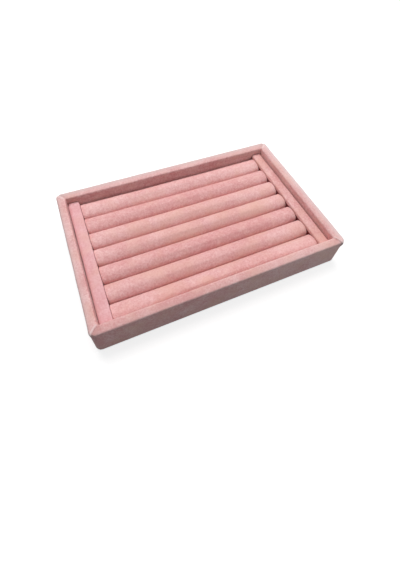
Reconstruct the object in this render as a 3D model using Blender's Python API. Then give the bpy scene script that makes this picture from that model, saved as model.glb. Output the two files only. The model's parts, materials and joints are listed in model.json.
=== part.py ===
"""Velvet ring roll tray: a board tray wrapped in velvet, with a lift-out insert of foam ring rolls.

Frame: X runs along the tray, Y from its front wall to its back wall, Z up, with the origin under
the middle of the felt that the tray rests on. All lengths are in metres.
"""

import math

import bmesh
import bpy
from mathutils import Vector

MM = 0.001

# Outside of the finished tray
TRAY_LENGTH = 228 * MM
TRAY_DEPTH = 146 * MM
TRAY_HEIGHT = 31.5 * MM
CORNER_RADIUS = 5 * MM
RIM_OUTER_ROUND = 2.5 * MM
RIM_INNER_ROUND = 1.2 * MM
FOOT_ROUND = 1.5 * MM

# Sheet goods, and the glue line that parts every two of them
VELVET = 1.2 * MM
GLUE_LINE = 0.3 * MM
WALL_BOARD = 5 * MM
BASE_BOARD = 3 * MM
UNDERSIDE_FELT = 0.5 * MM
INSERT_CARD = 1.5 * MM

# Wrapped tray
TURN_IN = 12 * MM
FELT_INSET = 3 * MM
MITRE_GAP = 0.3 * MM

# Lift-out insert
INSERT_CLEARANCE = 0.5 * MM
RIM_RECESS = 6.5 * MM
CARD_CORNER = 1.5 * MM
RAIL_WIDTH = 10 * MM
RAIL_ROUND = 1.4 * MM
CORE_EASE = 0.5 * MM
ROLL_COUNT = 7
ROLL_SPACE = 0.3 * MM
ROLL_FALL = 1.8 * MM
ROLL_FLATNESS = 1.16
ROLL_SHOULDER = 0.2
ROLL_TUCK = 1.8 * MM
ROLL_END_ROUND = 1.6 * MM
ROLL_END_DROP = 0.7 * MM
ROLL_END_HEM = 3 * MM
ROLL_HEM_GAP = 4 * MM

# How finely the curves are faceted
CORNER_STEPS = 4
ROUND_STEPS = 3
CREST_STEPS = 12
SHOULDER_STEPS = 3
FLANK_STEPS = 4
END_STEPS = 4
BEVEL_STEPS = 3

# A wall is velvet, board and velvet, with a glue line on either side of the board
WALL = WALL_BOARD + 2 * (VELVET + GLUE_LINE)
SKIN = VELVET + GLUE_LINE

# Levels, from the felt up
WRAP_BOTTOM = UNDERSIDE_FELT + GLUE_LINE
BASE_BOTTOM = WRAP_BOTTOM + SKIN
BASE_TOP = BASE_BOTTOM + BASE_BOARD
FLOOR_BOTTOM = BASE_TOP + GLUE_LINE
FLOOR_TOP = FLOOR_BOTTOM + VELVET
CARD_BOTTOM = FLOOR_TOP + GLUE_LINE
CARD_TOP = CARD_BOTTOM + INSERT_CARD
SEAT = CARD_TOP + GLUE_LINE
INSERT_TOP = TRAY_HEIGHT - RIM_RECESS

# The well between the walls, and the insert that drops into it
WELL_LENGTH = TRAY_LENGTH - 2 * WALL
WELL_DEPTH = TRAY_DEPTH - 2 * WALL
INSERT_LENGTH = WELL_LENGTH - 2 * INSERT_CLEARANCE
INSERT_DEPTH = WELL_DEPTH - 2 * INSERT_CLEARANCE
ROLL_PITCH = INSERT_DEPTH / ROLL_COUNT
ROLL_HALF_WIDTH = (ROLL_PITCH - ROLL_SPACE) / 2
ROLL_TOP = INSERT_TOP - ROLL_FALL
ROLL_LENGTH = INSERT_LENGTH - 2 * (RAIL_WIDTH + GLUE_LINE)


def clear_scene():
    """Removes every object, so that the script starts from nothing."""
    for existing in list(bpy.data.objects):
        bpy.data.objects.remove(existing)


def make_material(name, colour, roughness):
    """A plain dielectric finish in one colour."""
    finish = bpy.data.materials.new(name)
    finish.use_nodes = True
    shader = finish.node_tree.nodes["Principled BSDF"]
    shader.inputs["Base Color"].default_value = (*colour, 1)
    shader.inputs["Roughness"].default_value = roughness
    shader.inputs["Metallic"].default_value = 0
    return finish


def make_group(name, height):
    """An empty that carries the pieces of one body, at a height on the tray's middle line."""
    group = bpy.data.objects.new(name, None)
    group.location = (0, 0, height)
    bpy.context.scene.collection.objects.link(group)
    return group


def add_piece(name, shape, finish, group, location=(0, 0, 0)):
    """Turns a bmesh into a named object that rides on its group. The place is in the tray's frame."""
    bmesh.ops.recalc_face_normals(shape, faces=shape.faces)
    mesh = bpy.data.meshes.new(name)
    shape.to_mesh(mesh)
    shape.free()
    mesh.materials.append(finish)
    mesh.shade_smooth()
    mesh.set_sharp_from_angle(angle=math.radians(30))
    piece = bpy.data.objects.new(name, mesh)
    piece.parent = group
    piece.location = Vector(location) - group.location
    bpy.context.scene.collection.objects.link(piece)
    return piece


def loft(rings):
    """A closed solid through rings of points, with a flat cap on the first ring and on the last."""
    shape = bmesh.new()
    loops = [[shape.verts.new(point) for point in ring] for ring in rings]
    for before, after in zip(loops, loops[1:]):
        for here, point in enumerate(before):
            beyond = (here + 1) % len(before)
            shape.faces.new((point, before[beyond], after[beyond], after[here]))
    shape.faces.new(reversed(loops[0]))
    shape.faces.new(loops[-1])
    return shape


def arc(centre_u, centre_v, radius, first, last, steps):
    """Points of an arc in a plane, from the first angle to the last, in degrees."""
    angles = [math.radians(first + (last - first) * step / steps) for step in range(steps + 1)]
    return [(centre_u + radius * math.cos(a), centre_v + radius * math.sin(a)) for a in angles]


def rounded_rectangle(length, depth, radius):
    """The plan outline of a sheet with round corners, anticlockwise."""
    across, along = length / 2 - radius, depth / 2 - radius
    outline = []
    for side_x, side_y, first in ((1, 1, 0), (-1, 1, 90), (-1, -1, 180), (1, -1, 270)):
        outline += arc(side_x * across, side_y * along, radius, first, first + 90, CORNER_STEPS)
    return outline


def sheet(outline, bottom, top):
    """A flat sheet of board, card or cloth, cut to a plan outline."""
    return loft([[(x, y, z) for x, y in outline] for z in (bottom, top)])


def ease_edges(piece, width):
    """Takes the sharpness off a cut board's edges."""
    bevel = piece.modifiers.new("eased edges", "BEVEL")
    bevel.width = width
    bevel.segments = 1
    bevel.limit_method = "ANGLE"
    bevel.angle_limit = math.radians(40)


def wrap_section():
    """The velvet round one wall, seen end on, as (depth in from the outer face, height).

    It climbs the wall's inner face from the floor, crosses the rim, runs down the outer face and
    turns in under the base board. The face side comes first, then the back of the cloth.
    """
    section = []
    for skin in (0, VELVET):
        inner, outer, foot = (
            max(radius - skin, GLUE_LINE) for radius in (RIM_INNER_ROUND, RIM_OUTER_ROUND, FOOT_ROUND)
        )
        top, bottom = TRAY_HEIGHT - skin, WRAP_BOTTOM + skin
        side = [(WALL - skin, FLOOR_BOTTOM)]
        side += arc(WALL - skin - inner, top - inner, inner, 0, 90, ROUND_STEPS)
        side += arc(skin + outer, top - outer, outer, 90, 180, ROUND_STEPS)
        side += arc(skin + foot, bottom + foot, foot, 180, 270, ROUND_STEPS)
        side += [(TURN_IN, bottom)]
        section += side if skin == 0 else side[::-1]
    return section


def wrapped_wall(wall_length):
    """The velvet of one wall, lying along X with its outer face on Y = 0, mitred at both ends.

    Each end runs half way round the tray's upright corner. What lies deeper than the corner's
    radius runs straight on to the mitre, and meets it at a sharp inner corner.
    """
    section = wrap_section()
    corner = wall_length / 2 - CORNER_RADIUS
    half_gap = MITRE_GAP / math.sqrt(2)
    rings = []
    for step in range(CORNER_STEPS + 1):
        swept = step / CORNER_STEPS
        turn = math.radians(45 * swept)
        back_off = half_gap if step == CORNER_STEPS else 0
        ring = []
        for depth, height in section:
            reach = CORNER_RADIUS - depth
            if reach >= 0:
                along, inward = reach * math.sin(turn), CORNER_RADIUS - reach * math.cos(turn)
            else:
                along, inward = reach * (2 - swept), depth
            ring.append((corner + along - back_off, inward, height))
        rings.append(ring)
    mirrored = [[(-x, y, z) for x, y, z in ring] for ring in rings]
    return loft(mirrored[::-1] + rings)


def wall_board(outer_corners):
    """A wall's board, centred on its own middle line, with its outer face towards -Y.

    The front and back boards run the whole length and carry the tray's round corners. The side
    boards butt between them. The upper edge is rounded wherever it faces outwards.
    """
    radius = CORNER_RADIUS - SKIN
    half_board = WALL_BOARD / 2
    if outer_corners:
        half = TRAY_LENGTH / 2 - SKIN
        outline = [(half, half_board), (-half, half_board)]
        outline += arc(radius - half, radius - half_board, radius, 180, 270, CORNER_STEPS)
        outline += arc(half - radius, radius - half_board, radius, 270, 360, CORNER_STEPS)
    else:
        half = TRAY_DEPTH / 2 - SKIN - WALL_BOARD - GLUE_LINE
        outline = [(half, half_board), (-half, half_board), (-half, -half_board), (half, -half_board)]
    top = TRAY_HEIGHT - SKIN
    board = sheet(outline, FLOOR_BOTTOM, top)
    outward = []
    for edge in board.edges:
        ends = [vert.co for vert in edge.verts]
        on_top = min(end.z for end in ends) > top - GLUE_LINE
        inner = min(end.y for end in ends) > half_board - GLUE_LINE
        butted = not outer_corners and min(abs(end.x) for end in ends) > half - GLUE_LINE
        along = abs(ends[0].x - ends[1].x) > GLUE_LINE
        if on_top and not inner and (along or not butted):
            outward.append(edge)
    bmesh.ops.bevel(
        board,
        geom=outward,
        offset=RIM_OUTER_ROUND - SKIN,
        segments=BEVEL_STEPS,
        profile=0.5,
        affect="EDGES",
    )
    return board


def turned(shape, degrees):
    """Turns a bmesh about the upright axis."""
    angle = math.radians(degrees)
    for vert in shape.verts:
        x, y, z = vert.co
        across = x * math.cos(angle) - y * math.sin(angle)
        along = x * math.sin(angle) + y * math.cos(angle)
        vert.co = (across, along, z)
    shape.normal_update()
    return shape


def roll_outline(side_draw, crown_draw, base):
    """A roll's outside, end on, as (y, height): up one flank, over the crest and down the other.

    The crest is an arc that is flatter than a half circle, because each roll presses on the next,
    and a tighter arc joins it to each flank. The draws are how far in the flanks and the crest lie
    from the roll's full size.
    """
    crest = ROLL_FLATNESS * ROLL_HALF_WIDTH
    tight = ROLL_SHOULDER * ROLL_HALF_WIDTH
    reach = ROLL_HALF_WIDTH - tight
    shoulder = ROLL_TOP - crest + math.sqrt((crest - tight) ** 2 - reach**2)
    lean = math.degrees(math.acos(reach / (crest - tight)))
    over = arc(reach, shoulder, tight, 0, lean, SHOULDER_STEPS)
    over += arc(0, ROLL_TOP - crest, crest, lean, 180 - lean, CREST_STEPS)[1:]
    over += arc(-reach, shoulder, tight, 180 - lean, 180, SHOULDER_STEPS)[1:]
    narrow = 1 - side_draw / ROLL_HALF_WIDTH
    low = 1 - crown_draw / (ROLL_TOP - shoulder)
    crown = [(y * narrow, shoulder + (z - shoulder) * low) for y, z in over]
    flank = []
    for step in range(FLANK_STEPS):
        below = 1 - step / FLANK_STEPS
        in_by = side_draw + ROLL_TUCK * below**2
        flank.append((ROLL_HALF_WIDTH - in_by, shoulder - (shoulder - base) * below))
    return flank + crown + [(-y, z) for y, z in reversed(flank)]


def roll_section(place, side_draw, crown_draw, thickness):
    """The velvet of one roll, cut across: its face, then its back, open between the two hems."""
    hem = ROLL_HEM_GAP / 2
    face = roll_outline(side_draw, crown_draw, SEAT)
    back = roll_outline(thickness, thickness, SEAT + thickness)
    outline = [(hem, SEAT), *face, (-hem, SEAT)]
    outline += [(-hem, SEAT + thickness), *reversed(back), (hem, SEAT + thickness)]
    return [(place, y, z) for y, z in outline]


def roll_sleeve():
    """The velvet round one roll, with two hems under the foam.

    Each end is drawn in, more at the sides than on the crown, and folds over the foam's end.
    """
    rings = []
    for step in range(END_STEPS + 1):
        swing = math.radians(90 * step / END_STEPS)
        place = ROLL_LENGTH / 2 - ROLL_END_ROUND * (1 - math.cos(swing))
        drawn = 1 - math.sin(swing)
        thickness = VELVET if step == END_STEPS else ROLL_END_HEM
        rings.append(roll_section(place, ROLL_END_ROUND * drawn, ROLL_END_DROP * drawn, thickness))
    mirrored = [[(-x, y, z) for x, y, z in ring] for ring in rings]
    return loft(mirrored + rings[::-1])


def roll_foam():
    """The foam rod inside one roll, with a flat underside that is glued to the card."""
    outline = roll_outline(SKIN, SKIN, SEAT + SKIN)
    half = ROLL_LENGTH / 2 - ROLL_END_ROUND - GLUE_LINE
    return loft([[(x, y, z) for y, z in outline] for x in (-half, half)])


def box(length, depth, bottom, top):
    """A plain block, centred on the upright axis."""
    corners = [(1, 1), (-1, 1), (-1, -1), (1, -1)]
    return sheet([(x * length / 2, y * depth / 2) for x, y in corners], bottom, top)


def rail_sleeve(name, finish, group, location):
    """The velvet over one end rail: soft upper edges and ends, open only where it meets the card."""
    shape = box(RAIL_WIDTH, INSERT_DEPTH, SEAT, INSERT_TOP)
    soft = [edge for edge in shape.edges if max(vert.co.z for vert in edge.verts) > SEAT + VELVET]
    bmesh.ops.bevel(
        shape, geom=soft, offset=RAIL_ROUND, segments=BEVEL_STEPS, profile=0.5, affect="EDGES"
    )
    sleeve = add_piece(name, shape, finish, group, location)
    pocket_shape = box(
        RAIL_WIDTH - 2 * VELVET, INSERT_DEPTH - 2 * VELVET, SEAT - VELVET, INSERT_TOP - VELVET
    )
    pocket = add_piece(name + "_pocket", pocket_shape, finish, group, location)
    pocket.hide_render = True
    pocket.display_type = "WIRE"
    cut = sleeve.modifiers.new("pocket for the core", "BOOLEAN")
    cut.operation = "DIFFERENCE"
    cut.object = pocket
    return sleeve


def build_tray(group, velvet, board, felt):
    """The wrapped tray: base, four walls, their velvet, the floor and the felt underneath."""
    base_outline = rounded_rectangle(
        TRAY_LENGTH - 2 * SKIN, TRAY_DEPTH - 2 * SKIN, CORNER_RADIUS - SKIN
    )
    add_piece("base_board", sheet(base_outline, BASE_BOTTOM, BASE_TOP), board, group)

    board_line = SKIN + WALL_BOARD / 2
    walls = (
        ("front", TRAY_LENGTH, 0, (0, -TRAY_DEPTH / 2), (0, 1)),
        ("right", TRAY_DEPTH, 90, (TRAY_LENGTH / 2, 0), (-1, 0)),
        ("back", TRAY_LENGTH, 180, (0, TRAY_DEPTH / 2), (0, -1)),
        ("left", TRAY_DEPTH, 270, (-TRAY_LENGTH / 2, 0), (1, 0)),
    )
    for side, length, degrees, face, inward in walls:
        wrap = turned(wrapped_wall(length), degrees)
        add_piece(side + "_wall_velvet", wrap, velvet, group, (*face, 0))
        core = turned(wall_board(outer_corners=side in ("front", "back")), degrees)
        place = [edge + step * board_line for edge, step in zip(face, inward)]
        add_piece(side + "_wall_board", core, board, group, (*place, 0))

    floor = box(WELL_LENGTH - 2 * GLUE_LINE, WELL_DEPTH - 2 * GLUE_LINE, FLOOR_BOTTOM, FLOOR_TOP)
    add_piece("floor_velvet", floor, velvet, group)
    felt_outline = rounded_rectangle(
        TRAY_LENGTH - 2 * FELT_INSET, TRAY_DEPTH - 2 * FELT_INSET, CORNER_RADIUS
    )
    add_piece("underside_felt", sheet(felt_outline, 0, UNDERSIDE_FELT), felt, group)


def build_insert(group, velvet, board, card, foam):
    """The lift-out insert: a card that carries two end rails with the rolls between them."""
    card_outline = rounded_rectangle(INSERT_LENGTH, INSERT_DEPTH, CARD_CORNER)
    add_piece("insert_card", sheet(card_outline, CARD_BOTTOM, CARD_TOP), card, group)

    rail_line = (INSERT_LENGTH - RAIL_WIDTH) / 2
    for side, sign in (("left", -1), ("right", 1)):
        place = (sign * rail_line, 0, 0)
        rail_sleeve(side + "_rail_velvet", velvet, group, place)
        core = box(RAIL_WIDTH - 2 * SKIN, INSERT_DEPTH - 2 * SKIN, SEAT, INSERT_TOP - SKIN)
        piece = add_piece(side + "_rail_core", core, board, group, place)
        ease_edges(piece, CORE_EASE)

    for number in range(1, ROLL_COUNT + 1):
        place = (0, INSERT_DEPTH / 2 - ROLL_PITCH * (number - 1 / 2), 0)
        add_piece(f"roll_velvet_{number}", roll_sleeve(), velvet, group, place)
        add_piece(f"roll_foam_{number}", roll_foam(), foam, group, place)


def main():
    """Builds the tray and its insert."""
    clear_scene()
    velvet = make_material("dusty pink velvet", (0.80, 0.44, 0.42), 0.95)
    board = make_material("medium density fibreboard", (0.47, 0.33, 0.20), 0.85)
    card = make_material("grey card", (0.42, 0.41, 0.39), 0.9)
    foam = make_material("white foam", (0.85, 0.84, 0.80), 0.9)
    felt = make_material("pink felt", (0.72, 0.38, 0.37), 0.98)
    build_tray(make_group("tray", 0), velvet, board, felt)
    build_insert(make_group("ring_insert", CARD_BOTTOM), velvet, board, card, foam)


main()
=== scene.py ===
"""The looks of a velvet ring roll tray, built round its CAD frame.

The walls are one strip of short pile velvet that is folded at the four corners of the rim. The
insert inside them carries seven padded velvet rolls between two velvet rails. All lengths are in
metres, and every size that the box of a CAD solid tells is read from the frame.
"""

from __future__ import annotations

import json
import logging
import math
from dataclasses import dataclass, fields
from enum import Enum

import bpy
import numpy as np
from mathutils import Matrix, Quaternion, Vector, noise

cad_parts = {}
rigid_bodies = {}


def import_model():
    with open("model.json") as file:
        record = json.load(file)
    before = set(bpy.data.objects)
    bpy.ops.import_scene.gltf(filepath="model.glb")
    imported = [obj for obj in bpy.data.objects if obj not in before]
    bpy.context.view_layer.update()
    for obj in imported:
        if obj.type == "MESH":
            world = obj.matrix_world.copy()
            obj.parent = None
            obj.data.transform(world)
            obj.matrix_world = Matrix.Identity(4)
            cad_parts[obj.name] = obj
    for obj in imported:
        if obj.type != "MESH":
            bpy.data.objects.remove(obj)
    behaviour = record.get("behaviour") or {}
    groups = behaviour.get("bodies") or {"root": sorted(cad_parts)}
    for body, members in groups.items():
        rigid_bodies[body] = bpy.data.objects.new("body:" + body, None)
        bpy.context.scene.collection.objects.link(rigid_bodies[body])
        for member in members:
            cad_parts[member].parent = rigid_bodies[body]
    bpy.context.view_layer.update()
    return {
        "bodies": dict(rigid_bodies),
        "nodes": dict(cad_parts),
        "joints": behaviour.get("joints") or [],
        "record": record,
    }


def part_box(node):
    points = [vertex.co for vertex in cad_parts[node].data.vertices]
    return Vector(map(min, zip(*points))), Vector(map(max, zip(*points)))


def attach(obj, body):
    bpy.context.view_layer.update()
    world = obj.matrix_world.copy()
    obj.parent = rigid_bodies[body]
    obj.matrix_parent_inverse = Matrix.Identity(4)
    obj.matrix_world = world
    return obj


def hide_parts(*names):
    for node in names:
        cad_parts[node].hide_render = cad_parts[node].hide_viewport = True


MM = 0.001
LOG = logging.getLogger("ring_roll_tray")

Tree = bpy.types.NodeTree
Node = bpy.types.Node
Socket = bpy.types.NodeSocket
Mesh = bpy.types.Mesh
Inputs = dict[str | int, object]
Points = np.ndarray
Spot = tuple[float, float]
# A value for each of the left, right, front and back wall
Sides = tuple[float, float, float, float]

# Where a Mix node has its two colours among its inputs, and their blend among its outputs
FIRST, SECOND, BLEND = 6, 7, 2


def linear(colour: str) -> tuple[float, float, float, float]:
    """Turns an sRGB hex colour into the linear colour that a shader takes.

    Args:
        colour: six hex digits after a hash.

    Returns:
        Red, green, blue and an alpha of one.
    """
    parts = [int(colour[at : at + 2], 16) / 255 for at in (1, 3, 5)]
    red, green, blue = (c / 12.92 if c <= 0.04045 else ((c + 0.055) / 1.055) ** 2.4 for c in parts)
    return red, green, blue, 1.0


def feed(tree: Tree, node: Node, inputs: Inputs) -> None:
    """Sets or links inputs of a node.

    Args:
        tree: the tree that holds the node.
        node: the node.
        inputs: for each input's name or place, a value, or the socket or node that feeds it. A node
            does so by its first output.
    """
    for key, value in inputs.items():
        source = value.outputs[0] if isinstance(value, Node) else value
        if isinstance(source, Socket):
            tree.links.new(source, node.inputs[key])
        else:
            node.inputs[key].default_value = source


def add_node(tree: Tree, kind: str, inputs: Inputs | None = None, **settings: object) -> Node:
    """Adds a node with its settings, and sets or links each input that is named.

    Args:
        tree: the shader or geometry tree that gets the node.
        kind: the node's type.
        inputs: see feed().
        settings: the node's own properties.

    Returns:
        The new node.
    """
    node = tree.nodes.new(kind)
    for name, value in settings.items():
        setattr(node, name, value)
    feed(tree, node, inputs or {})
    return node


class Slot(Enum):
    """The record's material slots."""

    VELVET = "pink_velvet"
    FELT = "pink_felt"
    FIBREBOARD = "fibreboard"
    CARD = "grey_card"
    FOAM = "white_foam"


class Grain(Enum):
    """What a matte material is full of, by the texture that draws it and the texture's detail."""

    FIBRES = ("ShaderNodeTexNoise", 4.0)
    CELLS = ("ShaderNodeTexVoronoi", 0.0)


@dataclass(frozen=True)
class Finish:
    """A material of the tray, with its name and the slot that the record gives it."""

    name: str
    slot: Slot

    def material(self) -> bpy.types.Material:
        """Builds the material, unless it is there already.

        Returns:
            The material.
        """
        made = bpy.data.materials.get(self.name)
        if made is None:
            made = bpy.data.materials.new(self.name)
            made.use_nodes = True
            tree = made.node_tree
            feed(tree, tree.nodes["Principled BSDF"], self.surface(tree))
        return made

    def surface(self, tree: Tree) -> Inputs:
        """Draws the finish and returns what it feeds the shader. Each kind of finish has its own."""
        raise NotImplementedError


@dataclass(frozen=True)
class PileVelvet(Finish):
    """Polyester velvet, woven with a cut pile of about half a millimetre.

    The pile leans this way and that where a hand has brushed it, so the cloth breaks up into soft
    paler and deeper patches. The tips catch light that grazes them, which pales every edge. The
    tufts are finer than a pixel, so their grain is drawn about three times as coarse as it is.

    Five attributes of the mesh steer it: "cut" is the part of the roll of cloth that a piece comes
    from, "lay" turns it from the pink to the warm tone, "paleness" from the deep to the pale tone,
    partly at random and partly as painted light, "nap" runs from -1, painted shade in a
    tight gap, to 1, a painted highlight over an edge, and "worn" greys the rim and adds
    painted shade at the rim's outer edge and in the fold hollows.
    """

    name: str = "dusty pink cut pile velvet"
    slot: Slot = Slot.VELVET
    deep: str = "#dd9f9e"
    pale: str = "#f2cac8"
    warm: str = "#e8baab"
    tips: str = "#fff1ee"
    # Painted highlight, laid where the cloth goes over an edge
    opened: str = "#efdfde"
    # Grey of the rim, also used as painted shade at its outer edge and in the fold hollows
    worn: str = "#ad8d8b"
    # Painted shade, laid in tight gaps between parts
    crushed: str = "#6e1c21"
    patch: float = 14 * MM
    brush_mark: float = 2.8 * MM
    tuft: float = 1.5 * MM
    tuft_depth: float = 0.25 * MM
    patch_share: float = 1.0
    mark_share: float = 0.8
    tuft_share: float = 1.5
    contrast: float = 1.0
    softness: float = 0.35
    warm_range: Spot = (0.4, 0.75)
    warm_share: float = 0.65
    darkest_nap: float = -1.05

    def surface(self, tree: Tree) -> Inputs:
        """Draws the patches, brush marks and tufts, and tones them as the mesh says.

        Args:
            tree: the material's tree.

        Returns:
            What feeds the shader.
        """
        place = add_node(tree, "ShaderNodeTexCoord").outputs["Object"]
        cut, lay, lean, nap, worn = (
            add_node(tree, "ShaderNodeAttribute", attribute_name=name).outputs["Fac"]
            for name in ("cut", "lay", "lean", "nap", "worn")
        )
        patches, marks, warmth = (
            add_node(
                tree,
                "ShaderNodeTexNoise",
                {"Vector": place, "W": cut, "Scale": 1 / size, "Detail": detail, "Distortion": 0.4},
                noise_dimensions="4D",
            )
            for size, detail in ((self.patch, 1.5), (self.brush_mark, 2.0), (1.2 * self.patch, 1.5))
        )
        inputs = {"Vector": place, "Scale": 1 / self.tuft, "Detail": 2.0, "Roughness": 0.65}
        tufts = add_node(tree, "ShaderNodeTexNoise", inputs)
        # The textures add up from coarse to fine, and the paleness of the whole piece comes last, partly
        # painted light
        shares = (self.patch_share, self.mark_share, self.tuft_share)
        pattern = 0.0
        for texture, share in zip((patches, marks, tufts), shares):
            inputs = {0: texture, 1: share, 2: pattern}
            pattern = add_node(tree, "ShaderNodeMath", inputs, operation="MULTIPLY_ADD")
        inputs = {0: pattern, 1: self.contrast, 2: lean}
        mottle_and_paleness = add_node(tree, "ShaderNodeMath", inputs, operation="MULTIPLY_ADD")
        turned = add_node(tree, "ShaderNodeMath", {0: warmth, 1: lay}, operation="ADD")
        middle = self.contrast * sum(shares) / 2
        colour = linear(self.deep)
        # The pale tone takes the mottle and the paleness, which is partly painted light; the grey takes the
        # rim's grey and painted shade; the last two are the painted highlight and the painted shade
        for steer, start, end, most, tone in (
            (mottle_and_paleness, middle - self.softness, middle + self.softness, 1.0, self.pale),
            (turned, *self.warm_range, self.warm_share, self.warm),
            (worn, 0.0, 1.0, 1.0, self.worn),
            (nap, 0.0, 1.0, 1.0, self.opened),
            (nap, 0.0, self.darkest_nap, 1.0, self.crushed),
        ):
            inputs = {"Value": steer, "From Min": start, "From Max": end, "To Max": most}
            reach = add_node(tree, "ShaderNodeMapRange", inputs)
            inputs = {"Factor": reach, FIRST: colour, SECOND: linear(tone)}
            colour = add_node(tree, "ShaderNodeMix", inputs, data_type="RGBA").outputs[BLEND]
        inputs = {"Strength": 0.6, "Distance": self.tuft_depth, "Height": tufts}
        return {
            "Base Color": colour,
            "Normal": add_node(tree, "ShaderNodeBump", inputs),
            "Roughness": 0.95,
            "Specular IOR Level": 0.1,
            "Sheen Weight": 0.3,
            "Sheen Roughness": 0.3,
            "Sheen Tint": linear(self.tips),
        }


@dataclass(frozen=True)
class GrainFinish(Finish):
    """A matte sheet or block whose colour and surface come from one random grain."""

    dark: str
    light: str
    size: float
    depth: float
    stretch: tuple[float, float, float] = (1.0, 1.0, 1.0)
    grain: Grain = Grain.FIBRES
    dark_up_to: float = 0.3
    light_from: float = 0.7

    def surface(self, tree: Tree) -> Inputs:
        """Draws the grain.

        Args:
            tree: the material's tree.

        Returns:
            What feeds the shader.
        """
        texture, detail = self.grain.value
        place = add_node(tree, "ShaderNodeTexCoord").outputs["Object"]
        spread = add_node(tree, "ShaderNodeMapping", {"Vector": place, "Scale": self.stretch})
        grain = add_node(tree, texture, {"Vector": spread, "Scale": 1 / self.size, "Detail": detail})
        ramp = add_node(tree, "ShaderNodeValToRGB", {"Fac": grain})
        low, high = ramp.color_ramp.elements
        low.position, low.color = self.dark_up_to, linear(self.dark)
        high.position, high.color = self.light_from, linear(self.light)
        bump = add_node(tree, "ShaderNodeBump", {"Strength": 0.6, "Distance": self.depth, "Height": grain})
        return {"Base Color": ramp, "Normal": bump, "Roughness": 0.9, "Specular IOR Level": 0.2}


# Short pile velvet, woven and brushed: a soft mottle with pale edges, and no highlight
VELVET = PileVelvet()
# The same velvet where it is drawn over foam, and where it was brushed evenly: its patches show less
ROLL_VELVET = PileVelvet("dusty pink velvet over foam", contrast=0.82, patch_share=0.75)
EVEN_VELVET = PileVelvet("evenly brushed dusty pink velvet", deep="#dea0a3", pale="#f2cacd", contrast=0.55)
# Needle felt, pressed from dyed wool: short matted hairs, and no sheen
FELT = GrainFinish("pink needle felt", Slot.FELT, "#b98480", "#cf9c98", 0.8 * MM, 0.1 * MM)
# Sanded fibreboard: fine brown fibres that lie along the board
FIBREBOARD = GrainFinish(
    "raw sanded fibreboard", Slot.FIBREBOARD, "#8f7250", "#a98a64", 0.7 * MM, 0.03 * MM, (0.25, 1.0, 1.0)
)
# Grey card, rolled from waste paper: flecks of pulp
CARD = GrainFinish("grey pulp card", Slot.CARD, "#97948d", "#aeaba3", 0.9 * MM, 0.02 * MM)
# Polyurethane foam, cut from a block: open cells
FOAM = GrainFinish(
    "white open cell foam", Slot.FOAM, "#d5d2c6", "#efece2", 0.7 * MM, 0.2 * MM, grain=Grain.CELLS
)


def add_object(name: str, data: bpy.types.ID) -> bpy.types.Object:
    """Puts a mesh, a camera or a lamp into the scene.

    Args:
        name: the object's name.
        data: what it shows.

    Returns:
        The new object.
    """
    added = bpy.data.objects.new(name, data)
    bpy.context.scene.collection.objects.link(added)
    return added


def dress(node: str, finish: Finish) -> None:
    """Gives a CAD node that stays in view its material.

    Args:
        node: the node's name.
        finish: what it is made of.
    """
    materials = bpy.data.objects[node].data.materials
    materials.clear()
    materials.append(finish.material())


def add_piece(
    name: str, mesh: Mesh, finish: Finish, body: str, stands_for: list[str], **steers: float | Points
) -> bpy.types.Object:
    """Makes a mesh a piece of the tray that rides on a body and replaces its CAD solids.

    Args:
        name: the piece's name.
        mesh: its mesh, in the row's frame.
        finish: what it is made of.
        body: the CAD body that carries it.
        stands_for: the CAD nodes that it replaces.
        steers: for each attribute that the finish reads, one value or a value for each point.

    Returns:
        The new object.
    """
    mesh.name = name
    mesh.materials.clear()
    mesh.materials.append(finish.material())
    mesh.shade_smooth()
    for steer, value in steers.items():
        values = mesh.attributes.new(steer, "FLOAT", "POINT").data
        values.foreach_set("value", np.broadcast_to(value, len(mesh.vertices)).astype(np.float32))
    piece = add_object(name, mesh)
    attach(piece, body)
    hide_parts(*stands_for)
    LOG.info("%s: %d faces", name, len(mesh.polygons))
    return piece


def add_smoothing(piece: bpy.types.Object) -> None:
    """Rounds a piece's facets off by one subdivision."""
    surface = piece.modifiers.new("smooth", "SUBSURF")
    surface.levels = surface.render_levels = 1


def grid_mesh(rings: Points, closed: bool) -> Mesh:
    """Makes a mesh of quads through rings of points, each of them a closed loop.

    Args:
        rings: an array of rings by points by three.
        closed: whether the last ring joins the first. Otherwise both get a flat cap.

    Returns:
        The mesh, with its faces pointing outwards.
    """
    count, around = rings.shape[:2]
    index = np.arange(count * around).reshape(count, around)
    beyond = np.roll(index, -1, axis=0)
    if not closed:
        index, beyond = index[:-1], beyond[:-1]
    corners = [index, np.roll(index, -1, axis=1), np.roll(beyond, -1, axis=1), beyond]
    faces = [tuple(quad) for quad in np.stack(corners, axis=-1).reshape(-1, 4).tolist()]
    if not closed:
        faces += [tuple(range(around))[::-1], tuple(range((count - 1) * around, count * around))]
    mesh = bpy.data.meshes.new("grid")
    mesh.from_pydata(rings.reshape(-1, 3).tolist(), [], faces)
    mesh.update()
    face_outwards(mesh)
    return mesh


def face_outwards(mesh: Mesh) -> None:
    """Turns a closed mesh's faces over when the volume inside them comes out negative.

    Args:
        mesh: the mesh.
    """
    mesh.calc_loop_triangles()
    corners = np.array([triangle.vertices[:] for triangle in mesh.loop_triangles])
    points = read_columns(mesh.vertices, "co")
    first, second, third = (points[corners[:, at]] for at in range(3))
    if (first * np.cross(second, third)).sum() < 0:
        mesh.flip_normals()


def read_columns(items: bpy.types.bpy_prop_collection, key: str) -> Points:
    """Reads the three numbers that each item of a mesh has, such as where its points are.

    Args:
        items: the mesh's points or their normals.
        key: what is read of each.

    Returns:
        An array of three columns.
    """
    numbers = np.empty(len(items) * 3)
    items.foreach_get(key, numbers)
    return numbers.reshape(-1, 3)


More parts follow.
